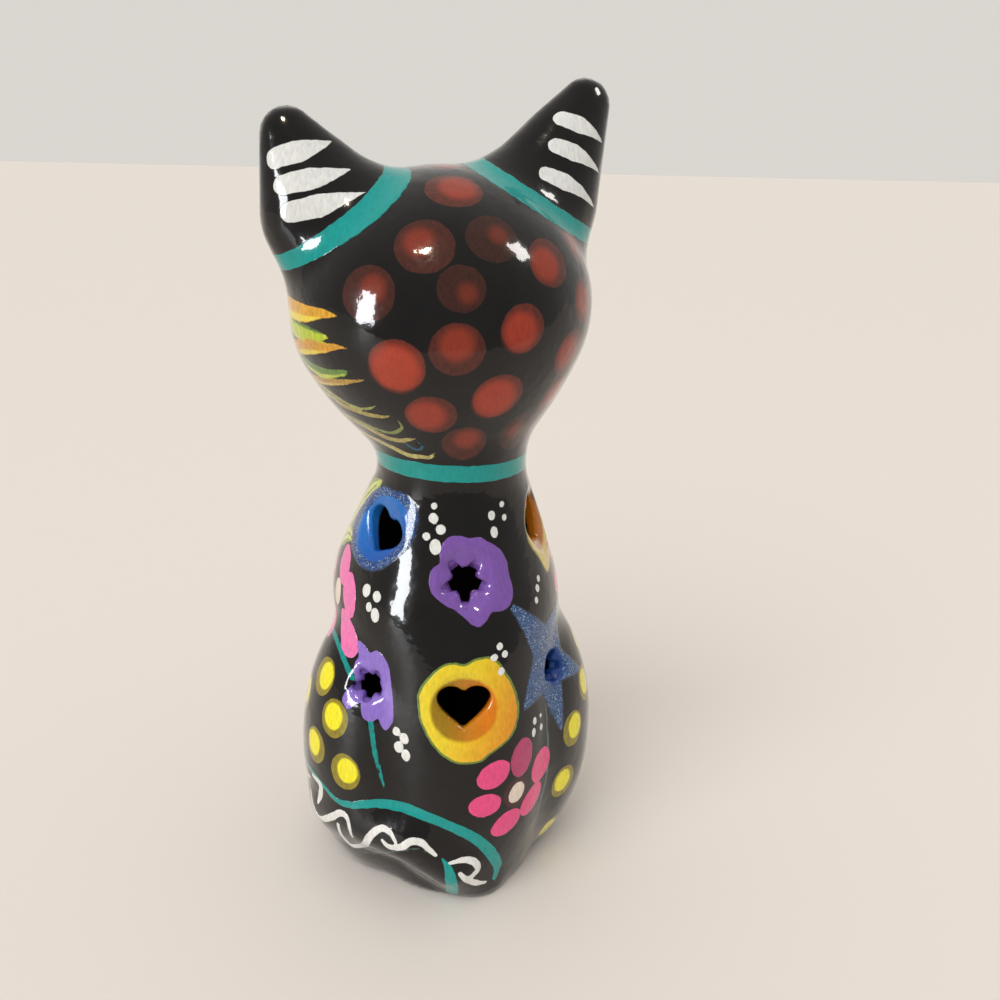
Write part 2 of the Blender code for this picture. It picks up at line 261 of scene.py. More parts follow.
# The openings are pierced through the shell: hearts and stars, each sunk in a round recess
# whose lip was rubbed soft before painting.
HEART_WIDTH, STAR_WIDTH, CREASE_STAR_WIDTH = 13.0, 11.2, 9.0
RECESS_MARGIN, CREASE_RECESS_MARGIN, RECESS_DEPTH, RECESS_FLARE = 4.0, -1.4, 2.2, 0.5
BORE_DEPTH, BORE_TOP = RECESS_DEPTH + 2.6 * WALL, 6.0
LIP_ROUND, FOOT_ROUND = 1.3, 0.7
WAVE_COUNT, WAVE_LENGTHS, WAVE_HEIGHT = 9, (14.0, 30.0), 0.035
SHOULDER_HEART_LEAN = 19.0
OPENING_REACH = 14.0
LOW_BACK_HEART = on_body(172.0, 58.0)
SPINE_STAR = on_body(174.0, 88.0)
CHEST_HEART = on_body(0.0, 84.0)
LEFT_HEART, RIGHT_HEART = on_body(113.0, 96.0), on_body(-116.0, 96.0)
LEFT_STAR, RIGHT_STAR = on_body(125.0, 59.5), on_body(-132.0, 59.5)


def heart_outline(width):
    """Outline of a plump heart, its blunt tip down, in sideways and upward millimetres."""
    turn = math.tau * (np.arange(48) + 0.5) / 48
    low = 0.5 - 0.5 * np.cos(turn)
    across = 13.5 * np.sin(turn) ** 3 + 5.0 * low * np.sin(turn)
    up = 12.0 * np.cos(turn) - 4.6 * np.cos(2 * turn) - 1.6 * np.cos(3 * turn)
    up = up - 0.4 * np.cos(4 * turn) + 2.5
    return np.stack([across, up], axis=-1) * width / 32.0


def star_outline(width):
    """Outline of a plump star, one of its five points down."""
    turn = math.tau * np.arange(60) / 60
    radius = width * (0.26 + 0.26 * (0.5 - 0.5 * np.cos(5 * turn)) ** 1.3)
    return np.stack([radius * np.sin(turn), radius * np.cos(turn)], axis=-1)


def closed(outline):
    """A flat shape: the distance from a closed outline's edge, negative inside."""
    def shape(x, y):
        edge = np.full(x.shape, np.inf)
        inside = np.zeros(x.shape, dtype=bool)
        for (left, low), (right, high) in zip(outline, np.roll(outline, -1, axis=0)):
            run, rise = right - left, high - low
            share = np.clip(((x - left) * run + (y - low) * rise) / (run * run + rise * rise), 0.0, 1.0)
            edge = np.minimum(edge, np.hypot(x - left - share * run, y - low - share * rise))
            if low != high:
                crosses = (low > y) != (high > y)
                inside ^= crosses & (x < left + (y - low) * run / rise)
        return np.where(inside, -edge, edge)
    return shape


def flat_frame(place, turn=0.0):
    """The sideways and upward directions on the skin at a place, turned by some degrees."""
    outward = place[1]
    across = np.cross((0.0, 0.0, 1.0), outward)
    across = across / np.linalg.norm(across)
    up = np.cross(outward, across)
    cos, sin = math.cos(math.radians(turn)), math.sin(math.radians(turn))
    return cos * across + sin * up, cos * up - sin * across


heart = (heart_outline(HEART_WIDTH), HEART_WIDTH, RECESS_MARGIN)
spine_star = (star_outline(STAR_WIDTH), STAR_WIDTH, RECESS_MARGIN)
crease_star = (star_outline(CREASE_STAR_WIDTH), CREASE_STAR_WIDTH, CREASE_RECESS_MARGIN)
openings = [
    (LOW_BACK_HEART, *heart, 0.0),
    (SPINE_STAR, *spine_star, 0.0),
    (CHEST_HEART, *heart, 0.0),
    (LEFT_HEART, *heart, -SHOULDER_HEART_LEAN),
    (RIGHT_HEART, *heart, SHOULDER_HEART_LEAN),
    (LEFT_STAR, *crease_star, 0.0),
    (RIGHT_STAR, *crease_star, 0.0),
]


def opening_form(points, opening):
    """Distance from the space that one opening takes out of the shell."""
    place, outline, width, margin, turn = opening
    across, up = flat_frame(place, turn)
    offset = points - place[0]
    x, y, height = offset @ across, offset @ up, offset @ place[1]
    recess = 0.5 * (width + margin) + RECESS_FLARE * np.maximum(height, 0.0)
    share = np.clip(height / RECESS_DEPTH + 1.0, 0.0, 1.0)
    share = share * share * (3.0 - 2.0 * share)
    form = (1.0 - share) * closed(outline)(x, y) + share * (np.hypot(x, y) - recess)
    return np.maximum(np.maximum(form, -height - BORE_DEPTH), height - BORE_TOP)


def waviness(points):
    """Slow unevenness of a surface smoothed by hand, about a tenth of a millimetre."""
    total = np.zeros(points.shape[:-1])
    waves = np.random.default_rng(7)
    for _ in range(WAVE_COUNT):
        direction = waves.normal(size=3)
        direction = direction / np.linalg.norm(direction)
        length = waves.uniform(*WAVE_LENGTHS)
        total += np.sin(points @ direction * math.tau / length + waves.uniform(0.0, math.tau))
    return WAVE_HEIGHT * total


def shell_form(points):
    """The whole shell: both faces of the wall, the openings, and the flat foot."""
    depth = cat_form(points) + waviness(points)
    form = np.abs(depth + 0.5 * WALL) - 0.5 * WALL
    for opening in openings:
        near = np.linalg.norm(points - opening[0][0], axis=-1) < 2.0 * OPENING_REACH
        if near.any():
            form[near] = carved(form[near], opening_form(points[near], opening), LIP_ROUND)
    return carved(form, points[..., 2], FOOT_ROUND)


# Form to CAD: the frame's origin lies under the middle of the box, this far from the form's
SHELL_SHIFT = np.array([-2.285, 6.451, 0.0])

bpy.ops.object.select_all(action="DESELECT")
shell = frame["nodes"]["cat"].copy()
shell.data = frame["nodes"]["cat"].data.copy()
shell.name = "painted_cat"
shell.parent = None
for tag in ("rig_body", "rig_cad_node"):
    if tag in shell:
        del shell[tag]
bpy.context.collection.objects.link(shell)
shell.data.materials.clear()
bpy.context.view_layer.objects.active = shell
shell.select_set(True)
bpy.ops.object.mode_set(mode="EDIT")
bpy.ops.mesh.select_all(action="SELECT")
bpy.ops.mesh.remove_doubles(threshold=1e-6)
bpy.ops.object.mode_set(mode="OBJECT")
remesh = shell.modifiers.new("Even mesh", "REMESH")
remesh.mode = "VOXEL"
remesh.voxel_size = SHELL_MESH * MM
bpy.ops.object.modifier_apply(modifier=remesh.name)


def form_points(item):
    """The vertices of a mesh as millimetres in the form's own frame."""
    found = np.empty(len(item.data.vertices) * 3)
    item.data.vertices.foreach_get("co", found)
    return found.reshape(-1, 3) / MM - SHELL_SHIFT


def put_points(item, points):
    item.data.vertices.foreach_set("co", ((points + SHELL_SHIFT) * MM).ravel())
    item.data.update()


def split_faces(item, distances, reach):
    """Cuts in four every face whose corners are, on average, within reach of an edge."""
    faces = item.data.polygons
    corners = np.empty(len(item.data.loops), dtype=int)
    item.data.loops.foreach_get("vertex_index", corners)
    starts = np.empty(len(faces), dtype=int)
    faces.foreach_get("loop_start", starts)
    sides = np.diff(np.append(starts, len(corners)))
    picked = np.add.reduceat(distances[corners], starts) / sides < reach
    bpy.ops.object.mode_set(mode="EDIT")
    bpy.ops.mesh.select_mode(type="FACE")
    bpy.ops.mesh.select_all(action="DESELECT")
    bpy.ops.object.mode_set(mode="OBJECT")
    faces.foreach_set("select", picked)
    bpy.ops.object.mode_set(mode="EDIT")
    bpy.ops.mesh.subdivide(number_cuts=1)
    bpy.ops.object.mode_set(mode="OBJECT")


def from_openings(points, in_wall):
    """Half the distance from the nearest opening's surface, for the points of the wall."""
    found = np.full(len(points), 2.0 * OPENING_REACH)
    for opening in openings:
        close = np.linalg.norm(points - opening[0][0], axis=-1) < OPENING_REACH
        close &= in_wall
        found[close] = np.minimum(found[close], 0.5 * np.abs(opening_form(points[close], opening)))
    return found


# The paint: acrylic colours brushed on black, layer over layer, then lacquered. Each mark
# gives the points it comes near, their distance in millimetres from its edge, and its colour.
# It reaches a little way into the openings and leaves the inside of the shell raw.
FAR = 9.0
PAINTED_DEPTH = WALL - 0.5
LAYERS = ("ground", "soft", "core", "glitter", "body", "bowl", "top")
marks = []


def colour(red, green, blue):
    """A colour as the eye sees it, from 0 to 255, made linear."""
    shares = np.array([red, green, blue]) / 255.0
    return np.where(shares < 0.04045, shares / 12.92, ((shares + 0.055) / 1.055) ** 2.4)


def painted(points):
    """The distance and the colour of every layer of paint at the points."""
    facing = steepness(cat_form, points)
    facing /= np.linalg.norm(facing, axis=-1, keepdims=True)
    coats = {}
    for name in LAYERS:
        coats[name] = (np.full(len(points), FAR), np.zeros((len(points), 3)))
    for name, mark in marks:
        near, edge, tint = mark(points, facing)
        edges, colours = coats[name]
        closer = edge < edges[near]
        chosen = near[closer]
        edges[chosen] = edge[closer]
        colours[chosen] = np.broadcast_to(tint, (len(near), 3))[closer]
    unpainted = cat_form(points) < -PAINTED_DEPTH
    for edges, _ in coats.values():
        edges[unpainted] = FAR
    return coats


def oval(half_width, half_height, middle=(0.0, 0.0), along=(0.0, 1.0)):
    """A flat shape: an ellipse, its height measured along the direction given."""
    def shape(x, y):
        x, y = x - middle[0], y - middle[1]
        side, far = x * along[1] - y * along[0], x * along[0] + y * along[1]
        near = np.hypot(side / half_width, far / half_height)
        steep = np.hypot(side / half_width ** 2, far / half_height ** 2) + 1e-6
        return near * (near - 1.0) / steep
    return shape


def grown(shape, margin):
    return lambda x, y: shape(x, y) - margin


def flat_mark(layer, place, shape, tint, reach=26.0):
    """Paints a flat shape on the skin round a place."""
    across, up = flat_frame(place)

    def mark(points, facing):
        offset = points - place[0]
        close = (np.linalg.norm(offset, axis=-1) < reach) & (facing @ place[1] > 0.15)
        near = np.flatnonzero(close)
        x, y = offset[near] @ across, offset[near] @ up
        return near, shape(x, y), tint(x, y) if callable(tint) else tint
    marks.append((layer, mark))


def ran_between(one, other, start, across, up):
    """A tint that runs from one colour to the other over a flat shape, so much a millimetre."""
    def tint(x, y):
        share = np.clip(start + across * x + up * y, 0.0, 1.0)[:, None]
        return one * (1.0 - share) + other * share
    return tint


def ring_of(count, radius, turn=0.0):
    """The middles of shapes set evenly round a ring, and the way outward at each."""
    for index in range(count):
        angle = math.tau * index / count + math.radians(turn)
        along = (math.sin(angle), math.cos(angle))
        yield (radius * along[0], radius * along[1]), along


def seen_from(place, places):
    """Sideways and upward millimetres of other places on the skin, seen square to one."""
    across, up = flat_frame(place)
    offset = places[0] - place[0]
    return np.stack([offset @ across, offset @ up], axis=-1)


def curve(before, start, finish, after, share):
    """A point on a smooth curve from start to finish."""
    bend = (2 * before - 5 * start + 4 * finish - after) * share ** 2
    bend = bend + (3 * start - before - 3 * finish + after) * share ** 3
    return 0.5 * (2 * start + (finish - before) * share + bend)


def drawn(place, knots, steps=4):
    """A flat shape whose edge runs smoothly through places round the body."""
    flat = seen_from(place, on_body(*np.transpose(knots)))
    before, after = np.roll(flat, 1, axis=0), np.roll(flat, -1, axis=0)
    beyond = np.roll(flat, -2, axis=0)
    parts = [curve(before, flat, after, beyond, step / steps) for step in range(steps)]
    return closed(np.stack(parts, axis=1).reshape(-1, 2))


def dab(place, ends, half_width, tint):
    """An oval dab of the brush between two places round the body."""
    first, second = seen_from(place, on_body(*np.transpose(ends)))
    run = second - first
    length = np.linalg.norm(run)
    shape = oval(half_width, 0.5 * length, 0.5 * (first + second), run / length)
    flat_mark("body", place, shape, tint, reach=20.0)


def stroke(layer, places, radii, tint, steps=6):
    """A brush stroke through places on the skin, with its half width at each."""
    knots = places[0]
    radii = np.broadcast_to(radii, len(knots))
    ends = np.vstack([2 * knots[0] - knots[1], knots, 2 * knots[-1] - knots[-2]])
    path, widths = [], []
    for index in range(len(knots) - 1):
        for share in np.arange(steps) / steps:
            path.append(curve(*ends[index:index + 4], share))
            widths.append(radii[index] * (1.0 - share) + radii[index + 1] * share)
    path = settled(cat_form, np.array(path + [knots[-1]]), 5)
    widths.append(radii[-1])
    low, high = path.min(axis=0) - 5.0, path.max(axis=0) + 5.0
    towards = places[1].mean(axis=0)

    def mark(points, facing):
        close = np.all((points > low) & (points < high), axis=-1) & (facing @ towards > -0.1)
        near = np.flatnonzero(close)
        local = points[near]
        edge = np.full(len(local), FAR)
        for start, finish, wide, wide_after in zip(path, path[1:], widths, widths[1:]):
            run = finish - start
            share = np.clip((local - start) @ run / max(run @ run, 1e-9), 0.0, 1.0)
            gap = np.linalg.norm(local - start - share[:, None] * run, axis=-1)
            edge = np.minimum(edge, gap - wide - (wide_after - wide) * share)
        return near, edge, tint
    marks.append((layer, mark))


def body_stroke(layer, knots, radii, tint):
    stroke(layer, on_body(*np.transpose(knots)), radii, tint)


WHITE = colour(236, 236, 232)
TEAL = colour(8, 154, 148)

# Teal bands: the maker's flat brush, one round the root of each ear and one round the neck.
# They close off the black of the ears from the spotted head, and the head from the body. An
# ear's band follows a slanted level of the head, and dips on the ear's front and back.
EAR_BAND_WIDTH, NECK_BAND_WIDTH = 3.5, 4.3
EAR_BAND_INSIDE, EAR_BAND_ABOVE = 6.0, 150.0
EAR_BAND_SLANT, EAR_BAND_LEVEL = (0.56, 0.83), 154.0
EAR_BAND_DIP, EAR_BAND_SPAN, EAR_MIDDLE = 0.11, 14.8, -5.0
NECK_BAND_LEVEL, NECK_BAND_TILT = 113.2, 0.105


def ear_bands(points, facing):
    head = upright(points)
    across, depth, up = np.abs(head[:, 0]), np.abs(head[:, 1] - EAR_MIDDLE), head[:, 2]
    near = np.flatnonzero((across > EAR_BAND_INSIDE) & (up > EAR_BAND_ABOVE))
    level = EAR_BAND_SLANT[0] * across + EAR_BAND_SLANT[1] * up - EAR_BAND_LEVEL
    level = level - EAR_BAND_DIP * (EAR_BAND_SPAN - depth)
    return near, np.abs(level[near]) - 0.5 * EAR_BAND_WIDTH, TEAL


def neck_band(points, facing):
    head = upright(points)
    level = head[:, 2] - NECK_BAND_LEVEL - NECK_BAND_TILT * head[:, 0]
    near = np.flatnonzero(np.abs(level) < FAR)
    return near, np.abs(level[near]) - 0.5 * NECK_BAND_WIDTH, TEAL


marks.append(("body", ear_bands))
marks.append(("body", neck_band))

# Crease lines: thin teal drawn with a liner where the haunches meet the trunk. On the right
# it broadens at the top and thins out to a greyish thread down the back of the haunch.
left_crease = [(44, 14), (42, 34), (50, 52), (68, 64), (93, 66.5), (106, 64.6), (117, 60.5),
               (126, 56), (130, 51.4), (132, 46.8), (134, 42), (136, 37.8), (138, 33)]
body_stroke("ground", left_crease, [0.7] * 9 + [0.65, 0.6, 0.5, 0.2], TEAL)
right_crease = [(-44, 14), (-42, 34), (-50, 54), (-68, 66), (-90, 71), (-112, 71), (-125, 69.5),
                (-134, 65.5)]
body_stroke("ground", right_crease, [0.8, 0.8, 0.8, 0.9, 1.2, 1.7, 1.5, 0.5], colour(48, 140, 130))
right_thread = [(-143, 54), (-143, 46.4), (-143, 39.8), (-143, 31.9), (-145, 23.9), (-148, 15.2),
                (-156, 9)]
body_stroke("ground", right_thread, [0.2, 0.4, 0.45, 0.4, 0.35, 0.3, 0.15], colour(84, 108, 106))

# Tail edges: a teal stroke along the top of the tail, swelling towards its root, one short
# broad stroke below the root, and a thin grey line under the tail.
tail_over = [(58, 28), (80, 31), (101, 30.5), (110, 29.2), (117, 26.9), (124, 27.3), (131, 28.7),
             (138, 29.4), (149, 29.2), (160, 27.6), (170, 24.8), (178, 21.1), (185, 15.6),
             (190, 9.7), (189, 6.0)]
tail_over_radii = [0.65, 0.65, 0.65, 0.65, 0.75, 0.95, 1.1, 1.3, 1.4, 1.4, 1.45, 1.5, 1.5, 1.4, 0.9]
body_stroke("body", tail_over, tail_over_radii, TEAL)
body_stroke("body", [(163.5, 17.2), (166, 14.4), (167, 11.5), (168, 6.8), (168, 2)],
            [0.1, 0.9, 1.4, 1.6, 1.6], TEAL)
body_stroke("ground", [(112, 9), (120, 9.8), (130, 10.6), (138, 15), (146, 18.8), (154, 20.3), (161, 18.1)],
            [0.1, 0.3, 0.35, 0.35, 0.35, 0.3, 0.15], colour(74, 98, 88))

# Tail ornament: white strokes that interlock like the links of a chain, each begun thin,
# pressed in its middle and drawn off to a point. They go on round the side, less closely.
tail_links = [
    [(102, 29.4), (108, 28.7), (107, 25), (105, 21.8)],
    [(98, 22.9), (101, 18.4), (105, 16.6), (113, 20.2), (119, 23.6), (123, 22.8), (124, 17.5)],
    [(117, 19.4), (116, 14.4), (118, 11.1), (127, 14.5), (134, 20.9), (138, 23.6), (142, 23.3), (145, 21.2)],
    [(139, 20.4), (142, 19.1), (147, 20.1), (151, 22.2), (155, 22.1), (158, 20.2), (161, 18.2)],
    [(167, 15.6), (172, 15.8), (177, 14.6), (179, 11.7), (175, 9.9), (173, 10.4)],
    [(171, 12.3), (174, 9.6), (179, 6.9), (184, 5.8)],
    [(98, 27), (90, 25), (83, 20), (78, 17), (73, 20), (71, 24)],
    [(80, 25), (74, 20), (68, 15), (61, 16), (57, 21), (55, 25)],
    [(64, 24), (57, 18), (50, 13), (43, 14), (39, 18)],
]
for link in tail_links:
    press = np.sin(math.pi * np.linspace(0.06, 0.96, len(link))) ** 0.6
    body_stroke("top", link, 0.2 + 0.8 * press, WHITE)

# Head spots: discs of thin red over black, each with a brighter core dabbed off its middle
# while wet, so that its edge stays soft.
spots = [
    (-171, 82, 0.8, 0.45, 0.0), (180, 57, 1.04, 0.6, 0.6), (161, 31, 1.06, 0.3, 2.6),
    (-170, 32, 0.96, 0.05, 0.4), (-147, 20, 0.95, 0.6, 3.4), (140, 14, 1.02, 0.25, 0.8),
    (174, 15, 0.86, 0.1, 5.6), (-164, -1, 0.9, 0.8, 3.9), (171, -6, 1.0, 0.5, 1.6),
    (149, -11, 1.04, 1.0, 4.3), (-172, -27, 1.0, 0.9, 3.9), (159, -33, 0.95, 0.75, 3.4),
    (174, -48, 0.86, 0.4, 1.2), (-153, -47, 0.95, 0.1, 2.9), (-127, 3, 0.95, 0.5, 3.0),
    (-137, -15, 0.95, 0.6, 3.0), (-135, -34, 0.95, 0.5, 2.2), (-114, -14, 0.9, 0.4, 3.0),
    (-119, 23, 0.9, 0.4, 3.0), (0, 62, 0.85, 0.5, 0.0),
]
for angle, lift, size, glow, lean in spots:
    place = on_head(angle, lift)
    rim = colour(58, 30, 22) * (1.0 - glow) + colour(112, 46, 33) * glow
    core = colour(106, 43, 27) * (1.0 - glow) + colour(178, 62, 38) * glow
    flat_mark("ground", place, oval(6.0 * size, 5.8 * size), rim, reach=14.0)
    slide = 1.7 - 1.0 * glow
    spread = (2.0 + 3.2 * glow) * size
    middle = (slide * math.cos(lean), slide * math.sin(lean))
    flat_mark("soft", place, oval(spread, spread, middle), core, reach=14.0)

# Ear strokes: three white petals on the back of each ear, pressed at the fat end and drawn
# off to a point, and the same on the front.
ear_petals = [
    (((35.4, 184.0), (30.8, 185.3), (26.8, 186.2), (22.6, 187.0)), 1.0),
    (((34.7, 178.7), (28.9, 179.7), (24.6, 180.4), (19.8, 181.1)), 1.0),
    (((34.1, 173.1), (27.9, 174.3), (23.0, 175.4), (17.9, 176.4)), 1.0),
    (((-29.4, 189.3), (-33.4, 187.9), (-36.6, 186.1), (-40.0, 183.4)), 0.82),
    (((-27.2, 183.7), (-31.2, 182.1), (-34.8, 180.1), (-38.6, 177.0)), 0.82),
    (((-23.8, 177.9), (-28.0, 176.0), (-32.4, 173.4), (-36.9, 169.2)), 0.82),
]
for petal, size in ear_petals:
    across, height = np.transpose(petal)
    for face in (1.0, -1.0):
        radii = size * np.array([2.15, 2.45, 1.5, 0.1])
        stroke("top", on_ear(across, height, face), radii, WHITE)

# Face fringe: flame strokes laid back over the cheek in orange, lime, olive and tan, broad
# above and closer and thinner towards the neck. On the right cheek they stop further forward.
fringe = [
    (colour(238, 176, 44), [(74, 7), (86, 6), (107, 5), (118, 6), (125, 6), (129, 5)],
     [1.0, 2.2, 2.1, 1.2, 0.6, 0.1]),
    (colour(206, 224, 48), [(74, 0), (89, -1), (104, -2), (113, -2), (120, -2), (125, -1)],
     [1.0, 1.9, 1.7, 1.1, 0.7, 0.1]),
    (colour(234, 168, 50), [(76, -9), (94, -9), (109, -7), (119, -6), (125, -5), (131, -5)],
     [1.0, 1.7, 1.7, 1.1, 0.7, 0.1]),
    (colour(112, 150, 66), [(86, -14), (101, -14), (109, -16), (118, -16), (125, -15), (130, -14)],
     [0.9, 1.1, 1.4, 1.1, 0.8, 0.1]),
    (colour(206, 164, 76), [(88, -22), (101, -21), (115, -20), (124, -19), (130, -18), (135, -17)],
     [0.8, 1.0, 0.95, 0.7, 0.4, 0.1]),
    (colour(176, 184, 100),
     [(90, -24), (103, -24), (112, -27), (120, -30), (126, -31), (132, -30), (136, -28)],
     [0.4, 0.6, 0.55, 0.5, 0.45, 0.35, 0.1]),
    (colour(190, 170, 92),
     [(94, -27), (106, -28), (114, -31), (124, -33), (132, -34), (138, -34), (142, -33)],
     [0.6, 0.8, 0.8, 0.75, 0.6, 0.45, 0.1]),
    (colour(148, 158, 88),
     [(104, -34), (116, -38), (126, -41), (134, -43), (140, -42), (144, -39), (143, -35)],
     [0.4, 0.6, 0.6, 0.5, 0.45, 0.4, 0.15]),
    (colour(196, 180, 104), [(108, -38), (121, -42), (130, -46), (138, -47), (145, -46), (149, -45)],
     [0.6, 0.9, 0.85, 0.7, 0.5, 0.1]),
    (colour(46, 108, 128), [(141, -48), (146, -51), (151, -50), (149, -47)], [0.2, 0.5, 0.4, 0.1]),
    (colour(206, 194, 118),
     [(108, -46), (123, -50), (131, -52), (140, -54), (148, -54), (154, -54), (158, -52)],
     [0.7, 0.8, 0.8, 0.7, 0.6, 0.45, 0.1]),
]
fringe_lights = [
    (colour(246, 222, 66), [(92, 3.0), (108, 3.2), (120, 4.6)], [0.9, 0.7, 0.1]),
    (colour(98, 140, 48), [(98, 1), (108, 0.6), (116, -0.4), (121, -1.2)], [0.25, 0.35, 0.3, 0.1]),
    (colour(240, 214, 70), [(98, -10.5), (110, -8.8), (120, -7.2)], [0.6, 0.5, 0.1]),
    (colour(204, 218, 84), [(101, -16), (110, -18), (118, -17.4), (126, -15.6)], [0.5, 0.6, 0.45, 0.1]),
    (colour(228, 200, 108), [(100, -22.5), (113, -21.5), (123, -20)], [0.3, 0.3, 0.1]),
]
FRINGE_SIDES = ((1, 0.0), (-1, 28.0))
for side, forward in FRINGE_SIDES:
    for layer, strokes in (("ground", fringe), ("core", fringe_lights)):
        for tint, knots, radii in strokes:
            angles, lifts = np.transpose(knots)
            stroke(layer, on_head(side * (angles - forward), lifts), radii, tint)

# White dots: set in fours and threes with the end of a stick, each where it would not sit
# quite in line; one pair low on the left ran together.
dots = [
    (154, 105.2, 0.8, 0.9), (154, 102.2, 1.2, 1.3), (159, 99.7, 1.2, 1.25), (150, 97.9, 0.95, 1.0),
    (156, 95.7, 1.4, 1.9), (-158, 104.6, 0.75, 0.8), (-167, 102.4, 0.95, 1.15),
    (-157, 101.3, 0.75, 0.85), (-166, 98.4, 0.95, 1.45), (116, 82.2, 1.35, 1.75),
    (124, 81.8, 1.25, 1.5), (120, 78.7, 1.0, 1.25), (125, 77.3, 1.35, 1.8), (-137, 84.1, 0.65, 0.8),
    (-140, 82.2, 0.75, 1.0), (-143, 79.7, 0.75, 0.9), (-171, 72.4, 0.9, 0.95), (-174, 69.9, 0.95, 0.9),
    (-168.5, 70.2, 0.85, 0.95), (-171, 66.2, 0.95, 1.0), (-148, 50.1, 0.6, 0.75),
    (-153, 49.9, 0.75, 1.0), (-154, 47.0, 0.8, 1.25), (-148, 46.9, 0.75, 1.0),
    (142, 49.9, 1.1, 1.2), (146, 48.6, 1.3, 1.5), (143.5, 46.0, 1.25, 1.5), (147, 44.2, 1.2, 1.7),
    (24, 97, 1.2, 1.5), (30, 93, 1.1, 1.3), (20, 91, 1.1, 1.3), (27, 87, 1.2, 1.6),
    (-24, 97, 1.2, 1.5), (-30, 93, 1.1, 1.3), (-20, 91, 1.1, 1.3), (-27, 87, 1.2, 1.6),
    (66, 76, 1.1, 1.3), (-66, 82, 1.1, 1.3), (-72, 78, 1.2, 1.5), (-63, 76, 1.1, 1.3),
]
for angle, height, half_width, half_height in dots:
    flat_mark("top", on_body(angle, height), oval(half_width, half_height), WHITE, reach=8.0)

# Haunch dots: mustard discs with a bright yellow dab in each.
MUSTARD, YELLOW = colour(156, 140, 34), colour(248, 236, 30)
haunch_dots = [(102, 57.5), (114, 49.5), (105, 39.5), (121.5, 36.5), (88, 49), (82, 36), (70, 52),
               (63, 39), (-99, 58), (-112, 49.5), (-126.5, 40.6), (-131, 25.5), (-126.5, 7.5),
               (-86, 48), (-96, 36), (-110, 24), (-72, 55), (-68, 38), (-82, 22), (-56, 26)]
for index, (angle, height) in enumerate(haunch_dots):
    place = on_body(angle, height)
    flat_mark("ground", place, oval(4.3, 5.0), MUSTARD, reach=12.0)
    aside = (0.8 * math.cos(index * 1.9), 0.5)
    flat_mark("core", place, oval(2.9, 3.5, aside), YELLOW, reach=12.0)

# Purple flowers: thick glossy purple round the star openings and down into their recesses,
# laid on freehand so that no two petals are alike.
PURPLE, LILAC = colour(128, 88, 172), colour(146, 116, 206)
spine_flower = [
    (167, 98.4), (172, 98.3), (177, 97.7), (-177, 97.8), (-171, 96.5), (-164, 94.4), (-160, 91.4),
    (-160, 87.9), (-159, 85.2), (-160, 82.9), (-163, 81), (-168, 80.4), (-173, 80.6), (-176, 79),
    (180, 77.7), (176, 78.3), (173, 79.8), (168, 81.6), (162, 83), (157, 84.6), (154, 86.8),
    (154, 88.4), (155, 90.7), (159, 92.1), (159, 93.9), (160, 96.2), (163, 97.7),
]
crease_flower = [
    (116, 69.1), (120, 68.3), (123, 67.2), (127, 68.4), (131, 68.1), (135, 66), (137, 61.9),
    (139, 57.5), (140, 52.8), (138, 50.1), (137, 49.6), (135, 50.5), (133, 52.3), (131, 51.4),
    (128, 51.4), (126, 52.5), (125, 54.5), (124, 55.2), (120, 53.1), (118, 53.5), (116, 54.9),
    (117, 57.5), (119, 59.5), (117, 62), (116, 64), (117, 65.4), (115, 66.9), (114, 68.4),
]
flat_mark("body", SPINE_STAR, drawn(SPINE_STAR, spine_flower), PURPLE)
flat_mark("body", LEFT_STAR, drawn(LEFT_STAR, crease_flower), LILAC)

# Blue openings: a thick smooth blue ring in a band of blue glitter at the left shoulder, paler
# towards its upper left, and a long-armed star of glitter over the right crease.
BLUE, BLUE_PALE, GLITTER_BLUE = colour(20, 92, 188), colour(36, 126, 214), colour(22, 48, 112)
glitter_ring = [
    (107, 106.3), (120, 106.4), (131, 106.6), (138, 105), (142, 102.2), (141, 98.4), (138, 94.9),
    (131, 91.8), (124, 89), (115, 87.3), (104, 87.3), (94, 89), (86, 91.8), (80, 95.3), (85, 99.6),
    (94, 103.6),
]
smooth_ring = [
    (108, 104.5), (123, 105.1), (132, 103.9), (136, 101.6), (135, 98), (131, 94.8), (125, 91.8),
    (116, 89.3), (108, 88.8), (98, 90.2), (92, 92.8), (90, 95.8), (94, 99.1), (100, 102.2),
]
glitter_star = [
    (-162, 81), (-138, 71.8), (-117, 74), (-123, 62), (-114, 54.3), (-130, 55.5), (-134, 42.8),
    (-144, 55.5), (-159, 54.7), (-150, 66.4),
]
flat_mark("glitter", LEFT_HEART, grown(drawn(LEFT_HEART, glitter_ring), 0.3), GLITTER_BLUE)
ring_blue = ran_between(BLUE, BLUE_PALE, 0.5, -0.06, 0.06)
flat_mark("body", LEFT_HEART, drawn(LEFT_HEART, smooth_ring), ring_blue)
star = grown(drawn(RIGHT_STAR, glitter_star, steps=1), 0.4)
flat_mark("glitter", RIGHT_STAR, star, colour(34, 64, 112))
flat_mark("bowl", RIGHT_STAR, oval(4.6, 4.8), colour(28, 70, 146))

